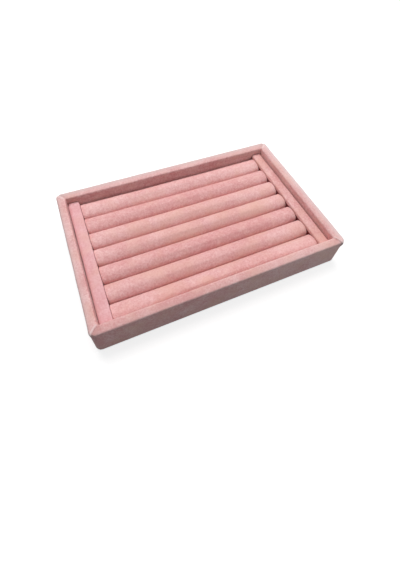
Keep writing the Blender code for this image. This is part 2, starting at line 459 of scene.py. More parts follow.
def write_points(mesh: Mesh, points: Points) -> None:
    """Moves the mesh's points to an array of three columns."""
    mesh.vertices.foreach_set("co", points.reshape(-1))
    mesh.update()


def unevenness(points: Points, size: float, seed: float) -> Points:
    """A smooth random value from -1 to 1 at each point.

    Args:
        points: the places, three columns.
        size: how far apart high and low spots lie.
        seed: picks the pattern.

    Returns:
        One value for each point.
    """
    shift = Vector((seed, 2 * seed, 3 * seed))
    return np.array([noise.noise(Vector(point) / size + shift) for point in points])


def ease(value: Points, start: float | Points, over: float) -> Points:
    """Eases a share from 0 to 1, flat at both ends.

    Args:
        value: what the share follows.
        start: where the share leaves 0.
        over: how far beyond the start it gets to 1.

    Returns:
        The share for each value.
    """
    share = np.clip((value - start) / over, 0, 1)
    return share * share * (3 - 2 * share)


def hill(value: Points, top: float, width: float) -> Points:
    """A soft bell over each value: 1 at its top, and about a third of that a width away from it."""
    return np.exp(-(((value - top) / width) ** 2))


def arc(centre: Spot, radius: float, first: float, last: float, steps: int) -> list[Spot]:
    """Points of an arc in a plane, from the first angle to the last, in degrees."""
    turns = np.radians(np.linspace(first, last, steps + 1))
    return [(centre[0] + radius * math.cos(turn), centre[1] + radius * math.sin(turn)) for turn in turns]


def run(start: Spot, end: Spot, steps: int) -> list[Spot]:
    """Points between two others, without either of them."""
    shares = np.linspace(0, 1, steps + 1)[1:-1]
    return [tuple(np.array(start) * (1 - share) + np.array(end) * share) for share in shares]


@dataclass(frozen=True)
class CornerFold:
    """How the velvet is folded where two walls meet on the rim.

    The cloth of the side wall laps over that of the front or back wall, and its edge runs from the
    inner corner to the outer one in a slight curve, or skewed to one side of it. A pleat may lie
    beside it. A painted highlight lies along the lap's rolled edge, and painted shade, darker and
    greyer, in the hollow beyond it.
    """

    side_x: int
    side_y: int
    lap: float
    bow: float
    pleat: float
    pleat_place: float
    pleat_width: float = 0.8 * MM
    edge_round: float = 0.42 * MM
    fade: float = 2.6 * MM
    crease: float = 0.4
    crease_place: float = 0.8 * MM
    # Painted shade in the hollow beyond the lap: how much greyer, how wide, and how much darker
    hollow: float = 0.25
    hollow_width: float = 3.6 * MM
    pressed: float = 0.0
    skew: float = 0.0

    def effects(self, points: Points, tray: WrappedTray) -> Points:
        """What the fold does to the cloth at each point.

        Args:
            points: the cloth's points.
            tray: the tray that has the corner.

        Returns:
            A row each for the lift along the normal, for the painted highlight and painted shade that the
            fold adds, and for the grey of its painted shade in the hollow.
        """
        away_x = tray.outside.x - self.side_x * points[:, 0]
        away_y = tray.outside.y - self.side_y * points[:, 1]
        along = (away_x + away_y) / math.sqrt(2)
        reach = tray.wall * math.sqrt(2)
        share = np.clip(along / reach, 0, 1)
        across = (away_x - away_y) / math.sqrt(2)
        across = across + self.bow * np.sin(math.pi * share) - self.skew * (1 - share)
        near = ease(-along, start=-1.12 * reach, over=0.3 * reach)
        near *= tray.near_rim(points, below=8 * MM, over=6 * MM)
        lapped = (1 - np.tanh(across / (2 * self.edge_round))) / 2
        body = lapped * np.exp(-np.clip(-across, 0, None) / self.fade)
        dip = self.crease * hill(across, self.crease_place, width=0.7 * MM)
        pleat = self.pleat * hill(across, self.pleat_place, self.pleat_width)
        pleat *= ease(share, start=0, over=1 / 3) * ease(1 - share, start=0, over=1 / 4)
        # Painted highlight along the lap's rolled edge, and painted shade in the hollow beyond it
        edge = 0.5 * hill(across, top=-0.8 * MM, width=0.8 * MM)
        beyond = ease(across, start=0, over=0.5 * MM) * hill(across, 0, self.hollow_width)
        lift = self.lap * (body - dip) + pleat
        return near * np.stack([lift, edge - self.pressed * beyond, self.hollow * beyond])


FRONT_LEFT = CornerFold(-1, -1, 1.0 * MM, 0.5 * MM, 0.35 * MM, 3.0 * MM, hollow=0.3, pressed=0.1)
# The front right corner is folded askew, and its cloth lies tighter than that of the others
FRONT_RIGHT = CornerFold(
    side_x=1,
    side_y=-1,
    lap=1.1 * MM,
    bow=0.2 * MM,
    pleat=0.3 * MM,
    pleat_place=-0.9 * MM,
    edge_round=0.45 * MM,
    fade=1.8 * MM,
    crease=0.3,
    hollow=0.05,
    pressed=0.12,
    skew=4.0 * MM,
)
BACK_LEFT = CornerFold(-1, 1, 0.60 * MM, -0.7 * MM, 0.15 * MM, 2.4 * MM)
BACK_RIGHT = CornerFold(1, 1, 0.50 * MM, 0.3 * MM, 0.10 * MM, 2.2 * MM)


@dataclass(frozen=True)
class WrappedTray:
    """The box: boards, the strip of velvet round them, the floor's velvet and the felt below."""

    outside: Vector
    top: float
    bottom: float
    wall: float
    cloth: float
    floor: float
    turn_in: float
    insert_top: float
    body: str = "tray"
    folds: tuple[CornerFold, ...] = (FRONT_LEFT, FRONT_RIGHT, BACK_LEFT, BACK_RIGHT)
    corner: float = 5 * MM
    inner_round: float = 1.9 * MM
    outer_round: float = 1.4 * MM
    foot_round: float = 1.5 * MM
    crown: float = 0.15 * MM
    crown_reach: float = 10 * MM
    # How closely the sections stand along a wall, and how they crowd towards its mitres
    fan: float = 14 * MM
    fan_steps: int = 34
    straight_step: float = 2 * MM
    # How the cloth swells and lies loose, and how far round a corner a wall's own look reaches
    swell: float = 0.16 * MM
    swell_size: float = 19 * MM
    ripple_size: float = 6 * MM
    slack: float = 0.3 * MM
    blend: float = 1.5 * MM
    edge_swell: Sides = (0.0, 0.5 * MM, 0.0, 0.45 * MM)
    # How grey the rim is, where painted highlights lie over its edges, how far painted shade reaches on the
    # inner faces and how it lightens at their foot, and the painted shade at the outer edge
    rim_wear: Sides = (0.12, 0.12, 0.2, 0.25)
    rim_open: Sides = (0.25, 0.65, 0.05, 0.5)
    edge_open: Sides = (0.35, 0.4, 0.1, 0.4)
    inner_open: Sides = (0.0, 0.15, 0.15, 0.15)
    inner_nap: Sides = (-0.38, 0.0, -0.1, -0.25)
    inner_reach: Sides = (1.4 * MM, 1.2 * MM, 1.2 * MM, 1.2 * MM)
    deep_open: float = 0.1
    most_open: float = 0.7
    edge_wear: float = 0.8
    # The lay in the middle and how it changes to each side, and how much the paleness of painted light
    # changes
    lay_middle: float = -0.06
    lay_change: float = 0.03
    lean_change: float = 0.2
    # The floor's cloth and the felt
    floor_wave: float = 0.12 * MM
    floor_columns: int = 70
    floor_rows: int = 44
    felt_round: float = 0.12 * MM

    @classmethod
    def from_frame(cls) -> WrappedTray:
        """Reads the tray's sizes from its CAD solids.

        Returns:
            The tray.
        """
        front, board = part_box("front_wall_velvet"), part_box("front_wall_board")
        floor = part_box("floor_velvet")
        return cls(
            outside=Vector((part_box("right_wall_velvet")[1].x, -front[0].y)),
            top=front[1].z,
            bottom=front[0].z,
            wall=board[1].y - front[0].y + board[0].y - front[0].y,
            cloth=floor[1].z - floor[0].z,
            floor=floor[0].z,
            turn_in=front[1].y - front[0].y,
            insert_top=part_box("left_rail_velvet")[1].z,
        )

    def section(self) -> tuple[Points, int]:
        """The velvet of one wall, end on.

        Returns:
            Depth in from the outer face and height of each point, and how many of them, from the
            first on, are on the cloth's face side.
        """
        inner, outer, foot = self.inner_round, self.outer_round, self.foot_round
        wall, top, bottom, cloth = self.wall, self.top, self.bottom, self.cloth
        face = [(wall, self.floor)]
        face += run((wall, self.floor), (wall, top - inner), steps=12)
        face += arc((wall - inner, top - inner), inner, 0, 90, steps=6)
        face += run((wall - inner, top), (outer, top), steps=12)
        face += arc((outer, top - outer), outer, 90, 180, steps=9)
        face += run((0, top - outer), (0, bottom + foot), steps=14)
        face += arc((foot, bottom + foot), foot, 180, 270, steps=5)
        face += run((foot, bottom), (self.turn_in, bottom), steps=4)
        face += [(self.turn_in, bottom)]
        heel = (cloth, bottom + foot + cloth)
        back = [(self.turn_in, bottom + cloth), (cloth + foot, bottom + cloth), heel]
        back += run(heel, (cloth, top - outer), steps=4)
        back += arc((outer, top - outer), outer - cloth, 180, 90, steps=3)
        back += [(wall - inner, top - cloth), (wall - cloth, top - inner - cloth), (wall - cloth, self.floor)]
        points = np.array(face + back)
        slope = np.clip(1 - points[:, 0] / (wall - inner), 0, 1) ** 2
        height = np.clip((points[:, 1] - (top - self.crown_reach)) / self.crown_reach, 0, 1)
        points[:, 1] -= self.crown * slope * height
        return points, len(face)

    def half_wall(self, half: float, section: Points) -> list[Points]:
        """Sets sections along half a wall, from its middle to the mitre.

        They stand square to the wall at first. Over the fan they turn round the upright corner, and
        each point of them goes its own way to the mitre in the same number of steps.

        Args:
            half: half the wall's outer length.
            section: depth and height of each point.

        Returns:
            For each section, its points along the wall, inwards from its outer face, and height.
        """
        depth, height = section.T
        corner = half - self.corner
        reach = self.corner - depth
        bend = np.where(reach > 0, math.pi / 4 * reach, reach)
        straight = corner - self.fan
        count = max(1, round(straight / self.straight_step))
        shares = 1 - (1 - np.arange(self.fan_steps + 1) / self.fan_steps) ** 1.5
        # How far beyond the start of the corner each section is
        beyond = [straight * (step / count - 1) - self.fan for step in range(count)]
        beyond += [share * (self.fan + bend) - self.fan for share in shares]
        rings = []
        for way in beyond:
            turn = np.maximum(way, 0) / np.maximum(reach, np.finfo(float).tiny)
            along = corner + reach * np.sin(turn) + np.minimum(way, 0)
            rings.append(np.column_stack([along, self.corner - reach * np.cos(turn), height]))
        return rings

    def strip(self) -> Mesh:
        """Makes the whole strip of velvet round the four walls, with its folds.

        Returns:
            The strip's mesh.
        """
        section, face_count = self.section()
        rings = []
        for quarter in range(4):
            half, away = self.outside if quarter % 2 == 0 else self.outside.yx
            right = self.half_wall(half, section)
            left = [ring * (-1, 1, 1) for ring in right[:0:-1]]
            angle = math.radians(90 * quarter)
            sine, cosine = math.sin(angle), math.cos(angle)
            turn = np.array([(cosine, sine, 0), (-sine, cosine, 0), (0, 0, 1)])
            rings += [(ring - (0, away, 0)) @ turn for ring in (left + right)[:-1]]
        mesh = grid_mesh(np.array(rings), closed=True)
        points = read_columns(mesh.vertices, "co")
        normals = read_columns(mesh.vertex_normals, "vector")
        on_face = np.tile(np.arange(len(section)) < face_count, len(rings))
        lift = unevenness(points, self.swell_size, seed=3.7)
        lift += unevenness(points, self.ripple_size, seed=9.1) / 2
        lift = self.swell * lift + self.folded(points)[0]
        on_edge = hill(self.depth(points), top=0, width=2.2 * MM)
        on_edge *= self.near_rim(points, below=9 * MM, over=8 * MM)
        lift += self.by_side(points, self.edge_swell) * on_edge
        above_foot = ease(points[:, 2], self.bottom, over=4 * MM)
        points += normals * (lift * on_face * above_foot)[:, None]
        # The left wall's inner face is pressed closer to its board than the others
        inner = ease(self.outside.x + points[:, 0], self.wall / 2, over=self.wall / 2)
        inner *= ease(-np.abs(points[:, 1]), self.wall + 2 * MM - self.outside.y, over=8 * MM)
        points[:, 0] -= self.slack * inner * on_face * (points[:, 0] < 0)
        write_points(mesh, points)
        return mesh

    def near_rim(self, points: Points, below: float, over: float) -> Points:
        """A share that leaves 0 at a depth below the rim and grows to 1 over a height."""
        return ease(points[:, 2], self.top - below, over)

    def from_sides(self, points: Points) -> Points:
        """How far points lie in from the left, right, front and back outer face, a row for each."""
        x, y = points[:, 0], points[:, 1]
        return np.stack([self.outside.x + x, self.outside.x - x, self.outside.y + y, self.outside.y - y])

    def depth(self, points: Points) -> Points:
        """How far points lie in from the nearest outer face."""
        return self.from_sides(points).min(axis=0)

    def by_side(self, points: Points, values: Sides) -> Points:
        """Gives points the value of the wall they lie on, blended round the corners.

        Args:
            points: the cloth's points.
            values: what the four walls have.

        Returns:
            The value at each point.
        """
        share = np.exp((self.depth(points) - self.from_sides(points)) / self.blend)
        return (share * np.array(values)[:, None]).sum(axis=0) / share.sum(axis=0)

    def folded(self, points: Points) -> Points:
        """What the four folds add up to at each point, in the rows of CornerFold.effects()."""
        return sum(fold.effects(points, self) for fold in self.folds)

    def steers(self, points: Points) -> dict[str, Points]:
        """How the pile of the wall's velvet lies, how pale it is, where painted light and shade lie on it,
        and how grey it is.

        Args:
            points: the cloth's points.

        Returns:
            The value at each point for each attribute of the mesh.
        """
        x, y = points[:, 0] / self.outside.x, points[:, 1] / self.outside.y
        depth = self.depth(points)
        _, fold_light, fold_shade = self.folded(points)
        # The lay is warmest at the front right corner, and pinkest at the back left one
        lay = self.lay_change * (x - y) + self.lay_middle
        # Painted light: the front wall goes from deep on the left to pale on the right, and the inside of
        # the back right corner is pale
        inside = ease(depth, start=self.wall - 1.2 * MM, over=0.8 * MM)
        lean = self.by_side(points, (0, 0, 1, 0)) * x + inside * ease(x + y, start=1, over=1)
        lean *= self.lean_change
        # Painted highlights over both edges of the rim, and painted shade on the inner faces beside the
        # insert
        on_rim = self.near_rim(points, below=2 * MM, over=1.5 * MM)
        outer_rim = hill(depth, top=0, width=4.5 * MM) * on_rim
        outer_edge = hill(depth, top=0, width=1.6 * MM)
        outer_edge *= self.near_rim(points, below=3.6 * MM, over=3 * MM)
        nap = self.by_side(points, self.edge_open) * outer_edge
        nap = np.maximum(nap, self.by_side(points, self.rim_open) * outer_rim)
        inner_edge = hill(depth, top=self.wall - self.inner_round / 2, width=0.7 * MM)
        inner_edge *= self.near_rim(points, below=1.2 * MM, over=0.8 * MM)
        nap += self.by_side(points, self.inner_open) * inner_edge
        # Painted shade on the inner faces, lighter below the insert's top
        inside = ease(depth, self.wall - self.by_side(points, self.inner_reach), over=0.8 * MM)
        deep = ease(-points[:, 2], start=-self.insert_top - 0.6 * MM, over=1.8 * MM)
        nap += inside * (self.by_side(points, self.inner_nap) + self.deep_open * deep)
        nap = np.clip(nap + fold_light, -1, self.most_open)
        # The rim is grey, eight times as much at its outer edge as at its inner one, and painted shade greys
        # its outer edge and the fold hollows further
        worn = self.by_side(points, self.rim_wear) * (1.6 - 1.4 * depth / self.wall)
        edge_wear = self.edge_wear * self.by_side(points, self.edge_open)
        worn = on_rim * (worn + edge_wear * hill(depth, top=0, width=1.8 * MM))
        return {"lay": lay, "lean": lean, "nap": nap, "worn": np.clip(worn + fold_shade, 0, 1)}

    def floor_cloth(self) -> Mesh:
        """Makes the velvet on the floor inside the walls, with the slight waves of glued cloth.

        Returns:
            The cloth's mesh.
        """
        low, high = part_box("floor_velvet")
        ys = np.linspace(low.y, high.y, self.floor_rows)
        loops = [
            [(x, y, high.z) for y in ys] + [(x, y, low.z) for y in ys[::-1]]
            for x in np.linspace(low.x, high.x, self.floor_columns)
        ]
        mesh = grid_mesh(np.array(loops), closed=False)
        points = read_columns(mesh.vertices, "co")
        from_edge = np.minimum(high.x - np.abs(points[:, 0]), high.y - np.abs(points[:, 1]))
        wave = self.floor_wave * unevenness(points * (1, 1, 0), 23 * MM, seed=5.3)
        on_top = points[:, 2] > (low.z + high.z) / 2
        points[:, 2] += on_top * wave * ease(from_edge, start=0, over=5 * MM)
        write_points(mesh, points)
        return mesh

    def felt(self) -> Mesh:
        """Makes the felt under the tray, cut with round corners.

        Returns:
            The felt's mesh.
        """
        low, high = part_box("underside_felt")
        outline = []
        for sign_x, sign_y, first in ((1, 1, 0), (-1, 1, 90), (-1, -1, 180), (1, -1, 270)):
            centre = (sign_x * (high.x - self.corner), sign_y * (high.y - self.corner))
            outline += arc(centre, self.corner, first, first + 90, steps=8)
        soft = self.felt_round
        rings = []
        for inset, height in ((soft, low.z), (0, low.z + soft), (0, high.z - soft), (soft, high.z)):
            shrink = np.array([1 - inset / high.x, 1 - inset / high.y])
            rings.append([(*(np.array(point) * shrink), height) for point in outline])
        return grid_mesh(np.array(rings), closed=False)

    def build(self) -> None:
        """Makes the tray's pieces and dresses the boards inside them."""
        sides = ("front", "right", "back", "left")
        boards = [f"{side}_wall_board" for side in sides]
        strip = self.strip()
        steers = self.steers(read_columns(strip.vertices, "co"))
        covers = [f"{side}_wall_velvet" for side in sides]
        wrap = add_piece("wall_velvet", strip, VELVET, self.body, covers, cut=0.3, **steers)
        # The floor's velvet gets painted shade all over
        steers = {"cut": 1.9, "lay": 0.0, "nap": -0.3}
        floor = self.floor_cloth()
        lining = add_piece("floor_velvet_cloth", floor, VELVET, self.body, ["floor_velvet"], **steers)
        felt = add_piece("underside_felt_sheet", self.felt(), FELT, self.body, ["underside_felt"])
        for board in ["base_board", *boards]:
            dress(board, FIBREBOARD)


@dataclass(frozen=True)
class PaddedBar:
    """A bar of foam or board in a velvet sleeve: a swept section with a flat underside.

    The geometry tree sweeps a rectangle with filleted corners along a line, raises its top to a
    crest, draws its lower flanks in towards the hems, and rounds its two ends over the last stretch.
    Each field is an input of the tree, with blanks in its name. The values here are a ring roll's.
    """

    length: float
    half_width: float
    height: float
    seed: float
    crest_radius: float = 13.5 * MM
    shoulder_round: float = 2.0 * MM
    foot_round: float = 1.2 * MM
    tuck: float = 1.2 * MM
    end_round: float = 0.8 * MM
    end_draw: float = 0.35 * MM
    end_drop: float = 0.25 * MM
    swell: float = 0.5 * MM
    swell_size: float = 26 * MM
    stations: int = 64
    around: int = 56

    TREE_NAME = "velvet sleeve round a bar"
    SOCKETS = {"float": "NodeSocketFloat", "int": "NodeSocketInt"}

    # The tree's sums, each with its name, its operation and its terms. A term is a number, an input,
    # an earlier sum, or x, y or z, the place of whatever point the sum is worked out for
    SUMS = (
        # The line that the section follows, with its points crowded towards both ends
        ("half length", "MULTIPLY", "length", 0.5),
        ("turn", "MULTIPLY", "x", math.pi / 2),
        ("crowded", "SINE", "turn"),
        ("along", "MULTIPLY", "crowded", "half length"),
        # How far the crest stands above the shoulders, which it spans as an arc
        ("radius squared", "POWER", "crest radius", 2.0),
        ("half squared", "POWER", "half width", 2.0),
        ("springing squared", "SUBTRACT", "radius squared", "half squared"),
        ("springing", "SQRT", "springing squared"),
        ("rise", "SUBTRACT", "crest radius", "springing"),
        ("shoulder", "SUBTRACT", "height", "rise"),
        # The section: a rectangle up to the shoulders. Its own y points down once it is swept
        ("width", "MULTIPLY", "half width", 2.0),
        ("upper", "LESS_THAN", "y", 0.0),
        ("extra round", "SUBTRACT", "shoulder round", "foot round"),
        ("fillet", "MULTIPLY_ADD", "upper", "extra round", "foot round"),
        # How far up to the shoulders a point is, and how far the flanks are tucked in below them
        ("up", "MULTIPLY_ADD", "shoulder", 0.5, "z"),
        ("level", "DIVIDE", "up", "shoulder"),
        ("below", "SUBTRACT", 1.0, "level"),
        ("below squared", "POWER", "below", 2.0),
        ("tucked", "MULTIPLY", "below squared", "tuck"),
        # How far a quarter circle has drawn the end in
        ("end start", "SUBTRACT", "half length", "end round"),
        ("from middle", "ABSOLUTE", "x"),
        ("into end", "SUBTRACT", "from middle", "end start"),
        ("share", "DIVIDE", "into end", "end round"),
        ("share squared", "POWER", "share", 2.0),
        ("cosine squared", "SUBTRACT", 1.0, "share squared"),
        ("cosine", "SQRT", "cosine squared"),
        ("drawn", "SUBTRACT", 1.0, "cosine"),
        # The place across, with flanks and ends drawn in
        ("narrow", "MULTIPLY_ADD", "drawn", "end draw", "tucked"),
        ("narrow share", "DIVIDE", "narrow", "half width"),
        ("squeeze", "SUBTRACT", 1.0, "narrow share"),
        ("across", "MULTIPLY", "y", "squeeze"),
        # The height, with the crest raised and the ends lowered
        ("aside", "ABSOLUTE", "y"),
        ("aside squared", "POWER", "aside", 2.0),
        ("arch squared", "SUBTRACT", "radius squared", "aside squared"),
        ("arch top", "SQRT", "arch squared"),
        ("arch", "SUBTRACT", "arch top", "springing"),
        ("raised", "MULTIPLY_ADD", "arch", "level", "up"),
        ("fall", "MULTIPLY", "drawn", "end drop"),
        ("fall share", "DIVIDE", "fall", "height"),
        ("kept", "SUBTRACT", 1.0, "fall share"),
        ("tall", "MULTIPLY", "raised", "kept"),
        # Slow swells where the filling is fuller or leaner, none of them on the flat underside
        ("lump", "SUBTRACT", "filling", 0.5),
        ("lump height", "MULTIPLY", "lump", "swell"),
        ("free", "DIVIDE", "z", "height"),
        ("push", "MULTIPLY", "lump height", "free"),
    )
    HELD_FROM_0_TO_1 = ("below", "share", "free")

    @classmethod
    def tree(cls) -> Tree:
        """Builds the geometry tree, unless it is there already.

        Returns:
            The tree.
        """
        made = bpy.data.node_groups.get(cls.TREE_NAME)
        if made:
            return made
        tree = bpy.data.node_groups.new(cls.TREE_NAME, "GeometryNodeTree")
        sockets = [(size.name.replace("_", " "), "INPUT", cls.SOCKETS[size.type]) for size in fields(cls)]
        sockets += [("finish", "INPUT", "NodeSocketMaterial"), ("sleeve", "OUTPUT", "NodeSocketGeometry")]
        for name, way, kind in sockets:
            tree.interface.new_socket(name=name, in_out=way, socket_type=kind)
        known = {socket.name: socket for socket in add_node(tree, "NodeGroupInput").outputs}
        place = add_node(tree, "GeometryNodeInputPosition")
        known.update(zip("xyz", add_node(tree, "ShaderNodeSeparateXYZ", {0: place}).outputs))
        density = add_node(tree, "ShaderNodeMath", {0: 1.0, 1: known["swell size"]}, operation="DIVIDE")
        inputs = {"Vector": place, "W": known["seed"], "Scale": density, "Detail": 1.0}
        known["filling"] = add_node(tree, "ShaderNodeTexNoise", inputs, noise_dimensions="4D")
        for name, operation, *terms in cls.SUMS:
            inputs = {at: known.get(term, term) for at, term in enumerate(terms)}
            held = name in cls.HELD_FROM_0_TO_1
            known[name] = add_node(tree, "ShaderNodeMath", inputs, operation=operation, use_clamp=held)
        along, shaped = (
            add_node(tree, "ShaderNodeCombineXYZ", dict(enumerate(spot)))
            for spot in ((known["along"],), (known["x"], known["across"], known["tall"]))
        )
        inputs = {0: add_node(tree, "GeometryNodeInputNormal"), "Scale": known["push"]}
        push = add_node(tree, "ShaderNodeVectorMath", inputs, operation="SCALE")
        # The path, the profile, and the sleeve that they make together
        inputs = {"Start": (-1.0, 0.0, 0.0), "End": (1.0, 0.0, 0.0)}
        path = add_node(tree, "GeometryNodeCurvePrimitiveLine", inputs, mode="POINTS")
        path = add_node(tree, "GeometryNodeResampleCurve", {0: path, "Count": known["stations"]})
        path = add_node(tree, "GeometryNodeSetPosition", {0: path, "Position": along})
        inputs = {"Width": known["width"], "Height": known["shoulder"]}
        profile = add_node(tree, "GeometryNodeCurvePrimitiveQuadrilateral", inputs)
        inputs = {0: profile, "Count": 12, "Radius": known["fillet"], "Limit Radius": True}
        profile = add_node(tree, "GeometryNodeFilletCurve", inputs, mode="POLY")
        profile = add_node(tree, "GeometryNodeResampleCurve", {0: profile, "Count": known["around"]})
        inputs = {0: path, "Profile Curve": profile, "Fill Caps": True}
        sleeve = add_node(tree, "GeometryNodeCurveToMesh", inputs)
        for kind, inputs in (
            ("GeometryNodeSetPosition", {"Position": shaped}),
            ("GeometryNodeSetPosition", {"Offset": push}),
            ("GeometryNodeRealizeInstances", {}),
            ("GeometryNodeSetMaterial", {"Material": known["finish"]}),
            ("NodeGroupOutput", {}),
        ):
            sleeve = add_node(tree, kind, {0: sleeve, **inputs})
        return tree

    def mesh(self) -> Mesh:
        """Runs the tree once and keeps its result as a plain mesh, lying along X on its seat.

        Returns:
            The sleeve's mesh, with the middle of its underside at the origin.
        """
        carrier = add_object("carrier", bpy.data.meshes.new("carrier"))
        modifier = carrier.modifiers.new("sleeve", "NODES")
        modifier.node_group = self.tree()
        values = {size.name.replace("_", " "): getattr(self, size.name) for size in fields(self)}
        values["finish"] = VELVET.material()
        for item in modifier.node_group.interface.items_tree:
            if item.in_out == "INPUT":
                modifier[item.identifier] = values[item.name]
        depsgraph = bpy.context.evaluated_depsgraph_get()
        depsgraph.update()
        mesh = bpy.data.meshes.new_from_object(carrier.evaluated_get(depsgraph))
        bpy.data.objects.remove(carrier)
        face_outwards(mesh)
        return mesh


@dataclass(frozen=True)
class RollLook:
    """What sets one roll apart: how its pile lies and leans, and how far its crest is tipped forward."""

    lay: float
    lean: float
    nod: float


@dataclass(frozen=True)
class RailLook:
    """What sets one end rail apart: where its wall is, and how its velvet was cut and brushed."""

    side: str
    towards_wall: int
    finish: PileVelvet
    seed: float
    lay: float
    # How much painted shade lies beside the rolls, and how much painted shadow of the wall on the outer side
    crushed: float
    shaded: float


@dataclass(frozen=True)
class RingInsert:
    """The lift-out insert: a card, two end rails, and the padded rolls between them."""

    rolls: tuple[RollLook, ...] = (
        RollLook(-0.08, 0.04, -0.4 * MM),
        RollLook(-0.1, -0.13, 0.5 * MM),
        RollLook(0.02, 0.0, 0.7 * MM),
        RollLook(0.08, -0.03, 1.1 * MM),
        RollLook(-0.08, -0.16, 1.35 * MM),
        RollLook(0.02, -0.05, 1.35 * MM),
        RollLook(0.0, -0.02, 1.35 * MM),
    )
    rails: tuple[RailLook, ...] = (
        RailLook("left", 1, EVEN_VELVET, seed=8.3, lay=-0.1, crushed=0.4, shaded=0.0),
        RailLook("right", -1, VELVET, seed=5.9, lay=0.0, crushed=1.0, shaded=0.06),
    )
    slack: float = 0.3 * MM
    glued: float = 0.4 * MM
    sim_frames: int = 14
    sim_cap: float = 0.5 * MM
    rail_round: float = 2.6 * MM
    rail_fall: float = 0.75 * MM
    # How far the outer side of both rails lies to the left: the left rail bulges, the right one is slim
    rail_shift: float = 0.4 * MM
    body: str = "ring_insert"

    # Stiff velvet that the foam pushes outwards
    CLOTH = {
        "quality": 6,
        "mass": 0.05,
        "tension_stiffness": 20,
        "compression_stiffness": 20,
        "shear_stiffness": 8,
        "bending_stiffness": 1,
        "use_pressure": True,
        "uniform_pressure_force": 3.0,
    }

    def settle(self, mesh: Mesh, seat: float) -> None:
        """Lets a sleeve swell over its foam in a short cloth simulation.

        The underside is glued down and stays put, and no point moves further than the cap.

        Args:
            mesh: the sleeve, which gets the result.
            seat: the height of its underside.
        """
        before = read_columns(mesh.vertices, "co")
        cloth_object = add_object("settling", mesh.copy())
        held = cloth_object.vertex_groups.new(name="glued")
        held.add(np.flatnonzero(before[:, 2] < seat + self.glued).tolist(), 1.0, "REPLACE")
        modifier = cloth_object.modifiers.new("velvet", "CLOTH")
        cloth = modifier.settings
        for setting, value in {**self.CLOTH, "vertex_group_mass": held.name}.items():
            setattr(cloth, setting, value)
        cloth.effector_weights.gravity = 0
        modifier.collision_settings.use_collision = False
        modifier.point_cache.frame_start, modifier.point_cache.frame_end = 1, self.sim_frames
        scene = bpy.context.scene
        for frame in range(1, self.sim_frames + 1):
            scene.frame_set(frame)
        depsgraph = bpy.context.evaluated_depsgraph_get()
        result = bpy.data.meshes.new_from_object(cloth_object.evaluated_get(depsgraph))
        step = read_columns(result.vertices, "co") - before
        distance = np.linalg.norm(step, axis=1, keepdims=True)
        LOG.info("settled: mean %.2f mm, most %.2f mm", distance.mean() / MM, distance.max() / MM)
        step *= self.sim_cap / np.maximum(distance, self.sim_cap)
        write_points(mesh, before + step)
        scene.frame_set(1)
        bpy.data.objects.remove(cloth_object)

    def roll(self, number: int, look: RollLook) -> None:
        """Makes one padded roll from the place and size of its CAD sleeve.

        Args:
            number: the roll's number, counted from the back wall.
            look: what sets it apart.
        """
        node = f"roll_velvet_{number}"
        low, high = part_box(node)
        bar = PaddedBar(
            length=high.x - low.x,
            half_width=(high.y - low.y) / 2 - 0.6 * self.slack,
            height=high.z - low.z - self.slack,
            seed=1.7 * number,
        )
        mesh = bar.mesh()
        mesh.transform(Matrix.Translation((0, (low.y + high.y) / 2, low.z)))
        self.settle(mesh, low.z)
        points = read_columns(mesh.vertices, "co")
        # The rear half of a roll is tipped towards the front, and most of all its crest
        rear = ease(points[:, 1], low.y, over=(high.y - low.y) / 2)
        height = np.clip((points[:, 2] - low.z) / (high.z - low.z), 0, 1)
        points[:, 1] -= look.nod * rear * height**2
        write_points(mesh, points)
        # Painted shade low down where an end meets a rail; the roll is paler towards both ends, which at the
        # right end is painted light
        beside_rail = ease(np.abs(points[:, 0]), start=high.x - 0.7 * MM, over=0.6 * MM)
        beside_rail *= ease(high.z - points[:, 2], start=2.0 * MM, over=1.4 * MM)
        left, right = (ease(side * points[:, 0], start=45 * MM, over=30 * MM) for side in (-1, 1))
        steers = {
            "cut": 3.1 * number,
            "lay": look.lay - 0.1 * left,
            "lean": look.lean + 0.07 * left + 0.1 * right,
            "nap": -beside_rail * np.where(points[:, 0] > 0, 0.8, 0.3),
        }
        piece = add_piece(f"ring_roll_{number}", mesh, ROLL_VELVET, self.body, [node], **steers)
        add_smoothing(piece)

    def rail(self, look: RailLook) -> None:
        """Makes one end rail: a flat board in velvet, with soft edges.

        Args:
            look: what sets the rail apart.
        """
        node = f"{look.side}_rail_velvet"
        low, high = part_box(node)
        bar = PaddedBar(
            length=high.y - low.y,
            half_width=(high.x - low.x) / 2 + 0.1 * MM,
            height=high.z - low.z,
            seed=look.seed,
            crest_radius=60 * MM,
            shoulder_round=0.9 * MM,
            foot_round=0.6 * MM,
            tuck=0.0,
            end_round=1.6 * MM,
            end_draw=0.9 * MM,
            end_drop=0.5 * MM,
            swell=0.25 * MM,
            swell_size=20 * MM,
            stations=90,
            around=72,
        )
        mesh = bar.mesh()
        # The side towards the wall is rounder than the one that the rolls lie against
        shape = read_columns(mesh.vertices, "co")
        to_wall = shape[:, 1] * look.towards_wall - (bar.half_width - self.rail_round)
        outer = np.clip(to_wall / self.rail_round, 0, 1) ** 2
        shape[:, 2] -= self.rail_fall * outer * ease(shape[:, 2], bar.height / 2, over=bar.height / 2)
        below = ease(bar.height - shape[:, 2], start=0, over=2 * MM) * ease(shape[:, 2], start=0, over=3 * MM)
        shape[:, 1] += self.rail_shift * outer * below
        write_points(mesh, shape)
        centre = Vector(((low.x + high.x) / 2, 0, low.z))
        mesh.transform(Matrix.Translation(centre) @ Matrix.Rotation(math.pi / 2, 4, "Z"))
        points = read_columns(mesh.vertices, "co")
